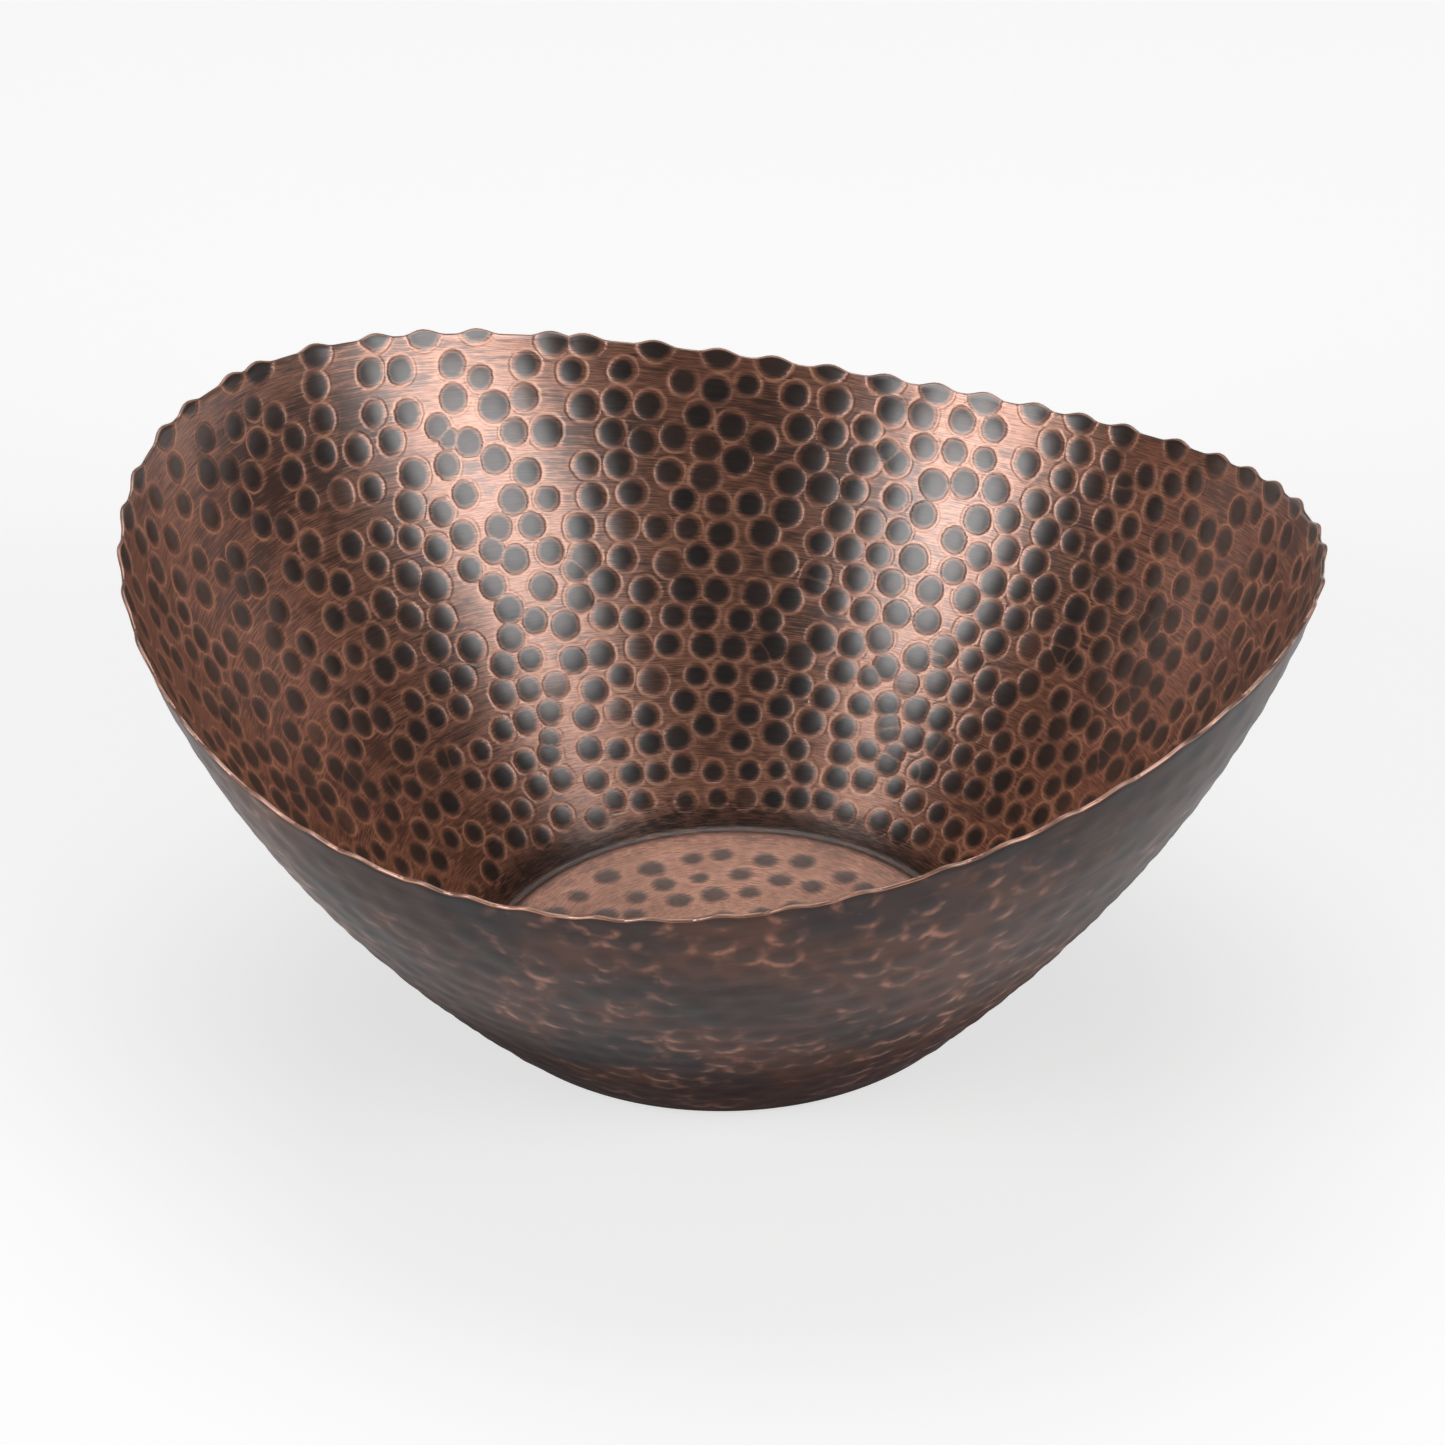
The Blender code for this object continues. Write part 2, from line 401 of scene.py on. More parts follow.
# %% Rings of points
COARSE = 304                       # points in an outside ring, a whole number of eighths
FINE = 2 * COARSE                  # points in an inside ring
MARKS_BEGIN = FIRST_ROUND - 3 * MM
EDGE_HEIGHT = 0.8                  # height of the rounded edge, where 1 is half a circle
EDGE_TURNS = (40, 90, 140)         # its rings, in degrees from the inside over to the outside
coarse_angle = FULL_TURN * np.arange(COARSE) / COARSE
fine_angle = FULL_TURN * np.arange(FINE) / FINE
step_ways = np.linspace(0, 1, 8)
corner_ways = np.linspace(1, 2, 5)[1:]
low_wall_ways = way_at(np.linspace(WALL_LENGTH, MARKS_BEGIN, 4)[1:])
low_inside_ways = np.concatenate([step_ways, corner_ways, low_wall_ways])
inside_ways = way_at(np.linspace(MARKS_BEGIN, RIM_LENGTH, 99)[1:])
edge_ways = np.full(len(EDGE_TURNS), 3.0)
outside_ways = way_at(np.linspace(WALL_LENGTH, RIM_LENGTH, 60)[1:-1])[::-1]
low_outside_ways = np.concatenate([step_ways, corner_ways])[::-1]


def skin(angle, way, side):
    """Points of one face of the sheet: the path, half the sheet's thickness to one side, and the marks.

    side is -1 for the inside and +1 for the outside."""
    angle, way = np.broadcast_arrays(angle[None, :], way[:, None])
    direction_way = np.minimum(way, BELOW_RIM)
    out = outward(angle, direction_way)
    points = path(angle, way) + side * out * SHEET / 2
    flat = points.reshape(-1, 3)
    push = (pressed_inside(flat) if side < 0 else swelling_outside(flat)).reshape(way.shape)
    rise = scallop(angle, way)
    return points + out * push[..., None] + along(angle, direction_way) * rise[..., None]


inside_low = skin(coarse_angle, low_inside_ways, -1)
inside_high = skin(fine_angle, inside_ways, -1)
edge_outside = skin(fine_angle, np.array([3.0]), 1)
outside_high = skin(coarse_angle, outside_ways, 1)
outside_low = skin(coarse_angle, low_outside_ways, 1)

edge_middle = (inside_high[-1] + edge_outside[0]) / 2
edge_half = (inside_high[-1] - edge_outside[0]) / 2
edge_up = along(fine_angle, np.full(FINE, BELOW_RIM)) * np.linalg.norm(edge_half, axis=-1, keepdims=True)
turns = np.radians(EDGE_TURNS)[:, None, None]
edge_round = edge_middle + edge_half * np.cos(turns) + EDGE_HEIGHT * edge_up * np.sin(turns)

stack = [inside_low, inside_high, edge_round, edge_outside, outside_high, outside_low]
print("rings:", [block.shape[:2] for block in stack])

# %% [markdown]
# ## Joining the rings
#
# Two rings with the same number of points are joined by four-sided faces. Where a coarse ring meets
# a fine one, each coarse edge faces two fine ones, and one five-sided face closes the gap. The order
# of the corners is the same everywhere, and it makes every face look away from the metal.

# %% Joining the rings
def join_rings(first, second):
    """Faces between two rings of point numbers; the counts are equal, or one is twice the other."""
    if len(first) == len(second):
        return np.stack([first, second, np.roll(second, -1), np.roll(first, -1)], axis=-1)
    if len(second) > len(first):
        even, odd = second[0::2], second[1::2]
        return np.stack([first, even, odd, np.roll(even, -1), np.roll(first, -1)], axis=-1)
    even, odd = first[0::2], first[1::2]
    return np.stack([even, second, np.roll(second, -1), np.roll(even, -1), odd], axis=-1)


rings = [ring for block in stack for ring in block]
ring_ends = np.cumsum([len(ring) for ring in rings])
ring_numbers = [np.arange(end - len(ring), end) for ring, end in zip(rings, ring_ends)]
ring_faces = [join_rings(first, second) for first, second in zip(ring_numbers[:-1], ring_numbers[1:])]
print(f"{len(rings)} rings, {ring_ends[-1]} points")


# %% Closing the floor above and below
def disc_square(count):
    """A square grid bent into a disc: the ring a point lies on is the larger of |a| and |b|, and its
    angle is its share of the way along that side of the square."""
    a, b = np.meshgrid(*[np.linspace(-1, 1, count + 1)] * 2, indexing="ij")
    size = np.maximum(np.abs(a), np.abs(b))
    safe = np.where(size == 0, 1.0, size)
    sideways = np.abs(b) > np.abs(a)
    angle = np.where(sideways, np.pi / 2 * np.sign(b) - np.pi / 4 * np.sign(b) * a / safe,
                     np.pi / 4 * np.sign(a) * b / safe + np.where(a < 0, np.pi, 0.0))
    return size, angle % FULL_TURN


disc_size, disc_angle = disc_square(COARSE // 4)
inner = disc_size < 1 - 1e-9
ring_place = np.rint(disc_angle / (FULL_TURN / COARSE)).astype(int) % COARSE


def floor_disc(z, side):
    """Points inside the disc's rim, one per inner corner of the bent square, pressed down by the marks."""
    flat = np.stack([disc_size * FLOOR_RADIUS * np.cos(disc_angle),
                     disc_size * FLOOR_RADIUS * np.sin(disc_angle),
                     np.full(disc_size.shape, z)], axis=-1)[inner]
    flat[:, 2] -= pressed_inside(flat) if side < 0 else swelling_outside(flat)
    return flat


def disc_faces(rim, start, upwards):
    """Faces of the disc; its outer corners are the ring's own points."""
    number = np.zeros(disc_size.shape, int)
    number[inner] = start + np.arange(inner.sum())
    number[~inner] = rim[ring_place[~inner]]
    corners = [number[:-1, :-1], number[1:, :-1], number[1:, 1:], number[:-1, 1:]]
    corners = corners if upwards else corners[::-1]
    return np.stack(corners, axis=-1).reshape(-1, 4)


floor_top = floor_disc(FOOT + FLOOR_RISE + SHEET, -1)
floor_under = floor_disc(FOOT + FLOOR_RISE, 1)
disc_top = disc_faces(ring_numbers[0], ring_ends[-1], True)
disc_under = disc_faces(ring_numbers[-1], ring_ends[-1] + len(floor_top), False)
points = np.concatenate(rings + [floor_top, floor_under])
face_groups = ring_faces + [disc_top, disc_under]
print(f"{len(points)} points, {sum(len(group) for group in face_groups)} faces")

# %% [markdown]
# ## Notes for the finishes
#
# A finish has to know where on the sheet it is. Each point carries the direction round the bowl and
# the length along the sheet, which is what the brush lines follow. Each face carries the centres and
# sizes of its two nearest marks, so that a finish can measure the true distance to a mark's edge and
# draw it as a clean circle, however coarse the grid is. A face belongs to the inside finish or to the
# outside one, and the two meet on the rounded edge.

# %% Measuring the notes
INSIDE = 1.0                       # how far inside a point lies: on the inside face
EDGE = 0.5                         # on the rounded edge
OUTSIDE = 0.0                      # and on the outside face
INSIDE_LIMIT = 0.3                 # a face whose points lie further inside gets the inside finish


def ring_notes(angle, way, side):
    """For every point of some rings: (cos(angle), sin(angle), length up the sheet), and its side."""
    angle, way = np.broadcast_arrays(angle[None, :], way[:, None])
    around = np.stack([np.cos(angle), np.sin(angle), length_at(way)], axis=-1).reshape(-1, 3)
    return around, np.full(way.size, side)


def disc_notes(side):
    """The same for the inner points of a floor disc, where the length is the distance from its middle."""
    around = np.stack([np.cos(disc_angle), np.sin(disc_angle), disc_size * FLOOR_RADIUS], axis=-1)[inner]
    return around, np.full(len(around), side)


notes = [
    ring_notes(coarse_angle, low_inside_ways, INSIDE),
    ring_notes(fine_angle, inside_ways, INSIDE),
    ring_notes(fine_angle, edge_ways, EDGE),
    ring_notes(fine_angle, np.array([3.0]), OUTSIDE),
    ring_notes(coarse_angle, outside_ways, OUTSIDE),
    ring_notes(coarse_angle, low_outside_ways, OUTSIDE),
    disc_notes(INSIDE),
    disc_notes(OUTSIDE),
]
brush_note = np.concatenate([around for around, side in notes])
side_note = np.concatenate([side for around, side in notes])
face_centres = np.concatenate([points[group].mean(axis=1) for group in face_groups])
face_is_inside = np.concatenate([side_note[group].mean(axis=1) for group in face_groups]) > INSIDE_LIMIT
print(f"{face_is_inside.sum()} faces inside, {(~face_is_inside).sum()} outside")


# %% Making the mesh
def make_mesh(name, points, groups):
    """A mesh from whole arrays: points, corners in face order, and where each face starts."""
    corners = np.concatenate([group.ravel() for group in groups])
    counts = np.concatenate([np.full(len(group), group.shape[1]) for group in groups])
    mesh = bpy.data.meshes.new(name)
    mesh.vertices.add(len(points))
    mesh.vertices.foreach_set("co", points.astype(np.float32).ravel())
    mesh.loops.add(len(corners))
    mesh.loops.foreach_set("vertex_index", corners.astype(np.int32))
    mesh.polygons.add(len(counts))
    mesh.polygons.foreach_set("loop_start", (np.cumsum(counts) - counts).astype(np.int32))
    mesh.polygons.foreach_set("use_smooth", np.ones(len(counts), bool))
    mesh.update(calc_edges=True)
    mesh.validate()
    return mesh


def add_note(mesh, name, domain, vectors):
    """Write one vector per point or per face into the mesh, under a name that a finish can read."""
    layer = mesh.attributes.new(name, "FLOAT_VECTOR", domain)
    layer.data.foreach_set("vector", vectors.astype(np.float32).ravel())


def pair(first, second):
    """Two rows of numbers as vectors, with nothing in third place."""
    return np.stack([first, second, np.zeros(len(first))], axis=-1)


mark_a, mark_b, mark_sizes, mark_tones = np.empty((4, len(face_centres), 3))
for chosen, centres in ((face_is_inside, mark_inside), (~face_is_inside, mark_outside)):
    first, second = nearest_marks(face_centres[chosen], centres, 2).T
    mark_a[chosen] = centres[first]
    mark_b[chosen] = centres[second]
    mark_sizes[chosen] = pair(mark_radius[first], mark_radius[second]) / MM
    mark_tones[chosen] = pair(mark_tone[first], mark_tone[second])

bowl_mesh = make_mesh("copper_sheet", points, face_groups)
add_note(bowl_mesh, "brush", "POINT", brush_note)
add_note(bowl_mesh, "mark_a", "FACE", mark_a)
add_note(bowl_mesh, "mark_b", "FACE", mark_b)
add_note(bowl_mesh, "mark_sizes", "FACE", mark_sizes)
add_note(bowl_mesh, "mark_tones", "FACE", mark_tones)
bowl_mesh.polygons.foreach_set("material_index", np.where(face_is_inside, 0, 1).astype(np.int32))

bowl = bpy.data.objects.new("copper_sheet", bowl_mesh)
bpy.context.collection.objects.link(bowl)
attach(bowl, "root")
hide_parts("bowl_shell")
triangles = sum(len(group) * (group.shape[1] - 2) for group in face_groups)
print(f"copper_sheet: {triangles} triangles")

# %% [markdown]
# ## Tools for building a finish
#
# A material is a graph of small nodes. These helpers add one node each and join it to what feeds it,
# so that a finish below reads like a recipe: measure, compare, mix.

# %% Node helpers
class Finish:
    """A new Principled material, and short calls that add nodes to it."""

    def __init__(self, name):
        self.material = bpy.data.materials.new(name)
        self.material.use_nodes = True
        self.tree = self.material.node_tree
        self.shader = self.tree.nodes["Principled BSDF"]

    def node(self, kind, **settings):
        """Add a node of one kind, with its settings."""
        made = self.tree.nodes.new(kind)
        for key, value in settings.items():
            setattr(made, key, value)
        return made

    def feed(self, socket, value):
        """Join a socket to another, or set it to a plain value."""
        if isinstance(value, bpy.types.NodeSocket):
            self.tree.links.new(value, socket)
        else:
            socket.default_value = value

    def maths(self, operation, *values):
        """One sum, with its inputs in order."""
        made = self.node("ShaderNodeMath", operation=operation)
        for socket, value in zip(made.inputs, values):
            self.feed(socket, value)
        return made.outputs[0]

    def plus(self, first, *others):
        """All the values added up."""
        for value in others:
            first = self.maths("ADD", first, value)
        return first

    def times(self, first, *others):
        """All the values multiplied."""
        for value in others:
            first = self.maths("MULTIPLY", first, value)
        return first

    def minus(self, first, second):
        """The first value less the second."""
        return self.maths("SUBTRACT", first, second)

    def larger(self, first, second):
        """The larger of two values."""
        return self.maths("MAXIMUM", first, second)

    def smaller(self, first, second):
        """The smaller of two values."""
        return self.maths("MINIMUM", first, second)

    def vector(self, operation, *values, output=0):
        """One vector sum, with its inputs in order."""
        made = self.node("ShaderNodeVectorMath", operation=operation)
        for socket, value in zip(made.inputs, values):
            self.feed(socket, value)
        return made.outputs[output]

    def parts(self, vector):
        """The three numbers of a vector."""
        made = self.node("ShaderNodeSeparateXYZ")
        self.feed(made.inputs[0], vector)
        return made.outputs

    def place(self):
        """Where a point is, in the bowl's own coordinates."""
        return self.node("ShaderNodeTexCoord").outputs["Object"]

    def note(self, name):
        """A vector that the mesh carries under this name."""
        return self.node("ShaderNodeAttribute", attribute_name=name).outputs["Vector"]

    def rise(self, value, low, high, start=0.0, end=1.0):
        """start below low, end above high, and a smooth step between."""
        made = self.node("ShaderNodeMapRange", interpolation_type="SMOOTHSTEP")
        for socket, given in zip(made.inputs, (value, low, high, start, end)):
            self.feed(socket, given)
        return made.outputs[0]

    def line(self, value, low, peak, high):
        """A soft line: 0 below low, 1 at the peak, and 0 again above high."""
        return self.times(self.rise(value, low, peak), self.rise(value, peak, high, 1.0, 0.0))

    def noise(self, place, scale, detail=2.0, roughness=0.5):
        """Soft random patches, about 0.5 on average; a larger scale makes smaller ones."""
        made = self.node("ShaderNodeTexNoise")
        self.feed(made.inputs["Vector"], place)
        self.feed(made.inputs["Scale"], scale)
        self.feed(made.inputs["Detail"], detail)
        self.feed(made.inputs["Roughness"], roughness)
        return made.outputs[0]

    def mix(self, share, first, second):
        """Two colours mixed: the first where share is 0, the second where it is 1."""
        made = self.node("ShaderNodeMix", data_type="RGBA")
        self.feed(made.inputs[0], share)
        self.feed(made.inputs[6], (*first, 1.0) if isinstance(first, tuple) else first)
        self.feed(made.inputs[7], (*second, 1.0) if isinstance(second, tuple) else second)
        return made.outputs[2]

    def blend(self, share, first, second):
        """Two numbers mixed in the same way."""
        made = self.node("ShaderNodeMix", data_type="FLOAT")
        self.feed(made.inputs[0], share)
        self.feed(made.inputs[2], first)
        self.feed(made.inputs[3], second)
        return made.outputs[0]

    def bump(self, height, distance, strength=1.0, normal=None):
        """A normal tilted as if the height, times a distance in metres, were real."""
        made = self.node("ShaderNodeBump")
        self.feed(made.inputs["Strength"], strength)
        self.feed(made.inputs["Distance"], distance)
        self.feed(made.inputs["Height"], height)
        if normal is not None:
            self.feed(made.inputs["Normal"], normal)
        return made.outputs[0]

    def round_the_bowl(self):
        """The direction of the brush lines, round the upright axis."""
        return self.node("ShaderNodeTangent", direction_type="RADIAL", axis="Z").outputs[0]

    def set(self, **values):
        """Feed the shader's own inputs, named in small letters with underscores."""
        names = {key.lower().replace(" ", "_"): key for key in self.shader.inputs.keys()}
        for key, value in values.items():
            self.feed(self.shader.inputs[names[key]], value)


# %% Measuring marks and brush lines
UNEVEN_EDGE = 0.9                  # mm by which a mark's edge wanders, from peak to peak


def mark_gaps(finish, place):
    """Millimetres from the edges of the two nearest marks, negative inside them, a little uneven."""
    sizes = finish.parts(finish.note("mark_sizes"))
    uneven = finish.times(finish.minus(finish.noise(place, 240.0, 3.0), 0.5), UNEVEN_EDGE)
    gaps = []
    for name, size in (("mark_a", sizes[0]), ("mark_b", sizes[1])):
        distance = finish.vector("DISTANCE", place, finish.note(name), output=1)
        gaps.append(finish.plus(finish.minus(finish.times(distance, 1 / MM), size), uneven))
    return gaps


def brush_lines(finish, round_scale, across_scale, detail):
    """Streaks that are long round the bowl and thin along the sheet, about 0.5 on average."""
    scales = (round_scale, round_scale, across_scale)
    return finish.noise(finish.vector("MULTIPLY", finish.note("brush"), scales), 1.0, detail, 0.6)


print("helpers:", [name for name in vars(Finish) if not name.startswith("_")])

# %% [markdown]
# ## The inside: brushed copper and dark marks
#
# The whole sheet was darkened, then brushed round and round. The brush reached the ground between
# the marks and their raised edges, which shine brightest, but not the bottoms of the marks, which
# keep a smooth dark patina, nor the corner where the wall meets the floor, whose dark colour is
# unbrushed patina and also painted shade of the groove. Between the marks some brown is left in
# smears. Brushed metal spreads a reflection across the brush lines, so the copper is anisotropic,
# with its lines running round the bowl's axis. A clear lacquer lies over everything, and it is what
# makes the dark marks shine: they reflect the lamps through it although the patina is dull.
#
# All this could be painted as a picture and wrapped round the bowl. Nodes were chosen because they
# follow every mark exactly, stay sharp close up, and leave no seam where a picture would end.

# %% The inside's colours
LINE_DARK = (0.35, 0.118, 0.060)            # copper at the bottom of a brush line
LINE_BRIGHT = (0.84, 0.385, 0.232)          # and on its crest
FLOOR_LINE_DARK = (0.46, 0.215, 0.138)
FLOOR_LINE_BRIGHT = (0.80, 0.43, 0.305)
BROWN_SMEAR = (0.112, 0.043, 0.027)
BRIGHT_RING = (0.98, 0.46, 0.27)            # the rubbed edge of a mark
PATINA = (0.008, 0.006, 0.005)
PATINA_BRUSHED = (0.032, 0.023, 0.020)
# The rim's edge: copper rubbed bare, and also a painted highlight on its rounding.
BARE_EDGE_HIGHLIGHT = (0.62, 0.32, 0.22)              # the rim's edge, rubbed bare
EDGE_LENGTH = RIM_LENGTH - 0.02 * MM        # where the rounded edge begins
print("darkest and brightest copper:", BROWN_SMEAR, BRIGHT_RING)


# %% The inside finish, piece by piece
def dark_in_marks(finish, gap_a, gap_b, on_floor):
    """How dark the patina is: full inside a mark, gone at its edge, thinner along a crease."""
    tones = finish.parts(finish.note("mark_tones"))
    soft_from = finish.blend(on_floor, -1.8, -2.1)
    soft_to = finish.blend(on_floor, 0.25, 0.8)
    dark_a = finish.times(finish.rise(gap_a, soft_from, soft_to, 1.0, 0.0), tones[0])
    dark_b = finish.times(finish.rise(gap_b, soft_from, soft_to, 1.0, 0.0), tones[1])
    dark = finish.times(finish.larger(dark_a, dark_b), finish.blend(on_floor, 1.0, 0.85))
    both = finish.rise(gap_b, -0.2, 0.3, 1.0, 0.0)
    halfway = finish.rise(finish.minus(gap_b, gap_a), 0.1, 0.9, 1.0, 0.0)
    return finish.times(dark, finish.minus(1.0, finish.times(both, halfway, 0.35)))


def patina_and_shade_in_corner(finish, length, streaks, smears, on_floor):
    """1 in the corner between floor and wall, with a ragged upper edge: patina where no brush reaches, and
    painted shade in the groove.
    """
    ragged = finish.plus(finish.times(streaks, 8 * MM), finish.times(finish.minus(smears, 0.5), 20 * MM))
    lower = finish.rise(finish.plus(length, ragged), WALL_LENGTH + 1 * MM, WALL_LENGTH + 10 * MM, 1.0, 0.0)
    off_floor = finish.rise(length, FLOOR_RADIUS - 2 * MM, FLOOR_RADIUS + 2 * MM)
    return finish.times(lower, finish.minus(1.0, on_floor), off_floor)


def brown_between_marks(finish, smears, patches, streaks, gap, ring):
    """1 in the brown smears: along the brush lines, in patches, and more on open ground than on rings."""
    open_ground = finish.rise(gap, 0.5, 2.4)
    brown = finish.plus(smears, finish.times(patches, 1.3), finish.times(streaks, 1.3),
                        finish.times(open_ground, 0.12))
    return finish.times(finish.rise(brown, 1.12, 1.52), finish.minus(1.0, finish.times(ring, 0.6)))


def make_inside_finish():
    """Brushed copper: lines, smears, rings and dark marks mixed in the order in which they were made."""
    finish = Finish("brushed_copper")
    place = finish.place()
    length = finish.parts(finish.note("brush"))[2]
    on_floor = finish.rise(length, FLOOR_RADIUS - 6 * MM, FLOOR_RADIUS - 4 * MM, 1.0, 0.0)
    climb = finish.rise(length, WALL_LENGTH + 10 * MM, WALL_LENGTH + 60 * MM)

    fine_lines = brush_lines(finish, 24.0, 4600.0, 2.0)
    broad_lines = brush_lines(finish, 14.0, 2300.0, 3.0)
    smears = brush_lines(finish, 12.0, 230.0, 3.0)
    patches = finish.noise(place, 26.0, 3.0, 0.6)
    blotches = finish.noise(place, 120.0, 2.0)
    streaks = finish.minus(broad_lines, 0.5)

    # The brush has dragged the edges of the marks out along its lines.
    drag = finish.times(streaks, finish.blend(on_floor, 1.3, 1.8))
    gap_a, gap_b = [finish.plus(gap, drag) for gap in mark_gaps(finish, place)]
    gap = finish.smaller(gap_a, gap_b)
    dark = dark_in_marks(finish, gap_a, gap_b, on_floor)
    corner = patina_and_shade_in_corner(finish, length, streaks, smears, on_floor)
    # The corner is darkened in the colour: unbrushed patina, and painted shade of the groove.
    dark = finish.larger(dark, finish.times(corner, finish.rise(broad_lines, 0.42, 0.62, 0.95, 0.55)))
    ring = finish.times(finish.line(gap, -0.35, 0.15, 0.95), finish.rise(blotches, 0.36, 0.64, 0.12, 1.0),
                        finish.blend(on_floor, 1.0, 0.15))
    brown = brown_between_marks(finish, smears, patches, streaks, gap, ring)
    brown = finish.times(brown, finish.blend(on_floor, finish.blend(climb, 0.75, 1.0), 0.35))

    wall_ground = finish.mix(finish.rise(fine_lines, 0.34, 0.66), LINE_DARK, LINE_BRIGHT)
    floor_ground = finish.mix(finish.rise(broad_lines, 0.36, 0.6), FLOOR_LINE_DARK, FLOOR_LINE_BRIGHT)
    colour = finish.mix(on_floor, wall_ground, floor_ground)
    colour = finish.mix(finish.times(brown, 0.9), colour, BROWN_SMEAR)
    colour = finish.mix(finish.times(ring, 0.74), colour, BRIGHT_RING)
    patina = finish.mix(finish.rise(broad_lines, 0.35, 0.62), PATINA, PATINA_BRUSHED)
    colour = finish.mix(dark, colour, patina)
    # The rounded rim edge is painted pale: bare copper, and a painted highlight along it.
    at_edge = finish.rise(length, EDGE_LENGTH - 0.15 * MM, EDGE_LENGTH)
    rubbed = finish.times(at_edge, finish.rise(blotches, 0.38, 0.60, 0.5, 1.0))
    colour = finish.mix(rubbed, colour, BARE_EDGE_HIGHLIGHT)
    metal = finish.blend(dark, finish.blend(ring, finish.blend(climb, 0.70, 0.85), 0.45), 0.2)
    rough = finish.blend(dark, finish.blend(fine_lines, 0.32, 0.46), 0.40)

    # The lip that a blow raises is real height, so the copper and its lacquer both follow it.
    lines = finish.plus(fine_lines, finish.times(broad_lines, 0.8))
    lines = finish.times(lines, finish.blend(dark, 1.0, 0.5))
    lip = finish.times(finish.line(gap, -0.7, 0.15, 1.1), finish.blend(on_floor, 1.0, 0.2))
    shaped = finish.bump(lip, 0.06 * MM)
    brushed = finish.bump(lines, 0.06 * MM, 0.8, shaped)
    lacquered = finish.bump(lines, 0.04 * MM, 0.5, shaped)
    lacquer = finish.blend(on_floor, finish.blend(corner, finish.blend(dark, 1.0, 0.62), 0.3), 0.55)
    finish.set(base_color=colour, metallic=metal, roughness=rough, normal=brushed,
               tangent=finish.round_the_bowl(), anisotropic=0.8, anisotropic_rotation=0.25,
               coat_weight=lacquer, coat_roughness=0.28, coat_ior=2.15, coat_normal=lacquered)
    return finish.material


bowl_mesh.materials.append(make_inside_finish())
print("inside:", bowl_mesh.materials[0].name)

# %% [markdown]
# ## The outside: patina
#
# The outside was hardly rubbed. It is almost black-brown, with a dull sheen and fine lines round the
# bowl. Here and there the cloth has caught the lower side of a swelling and left a broken reddish
# crescent. The crescents and the paler tops of some swellings low on the wall are rubbed copper and
# also painted highlights. Some patches are worn a little redder than the rest, and others are cold
# and grey. The colour is painted darker towards the foot, as shade. The sheen comes from a thin coat
# of wax, which was rubbed on the wall and hardly reached the foot.
#
# It could be the inside's finish with darker colours, but what happened to it was different, and a
# recipe of its own is easier to read.

# %% The outside's colours
OUTSIDE_DARK = (0.029, 0.0155, 0.0138)
OUTSIDE_PALE = (0.046, 0.0245, 0.021)
# Painted shade: this colour darkens the outside towards the foot.
PAINTED_FOOT_SHADE = (0.014, 0.009, 0.009)
WORN_PATCH = (0.112, 0.047, 0.031)
SWELLING = (0.026, 0.020, 0.020)
COLD_PATCH = (0.021, 0.020, 0.023)
# Rubbed copper and also a painted highlight on the tops of the swellings.
WORN_TOP_HIGHLIGHT = (0.140, 0.064, 0.046)
# Rubbed copper and also a painted highlight on the lower side of the swellings.
CRESCENT = (0.38, 0.160, 0.100)
# The outer rim edge: copper rubbed bare, and also a painted highlight on its rounding.
BARE_OUTER_EDGE_HIGHLIGHT = (0.55, 0.27, 0.18)
print("darkest and brightest patina:", PAINTED_FOOT_SHADE, CRESCENT)


# %% The outside finish, piece by piece
def crescent_round_mark(finish, place, name, gap):
    """A soft line along a swelling's edge, full below its centre and faint above it: rubbed copper, and a
    painted highlight on the swelling's lower side.
    """
    offset = finish.parts(finish.vector("SUBTRACT", place, finish.note(name)))
    below = finish.rise(offset[2], -2.5 * MM, 2.0 * MM, 1.0, 0.25)
    return finish.times(finish.line(gap, -2.4, 0.0, 1.9), below)


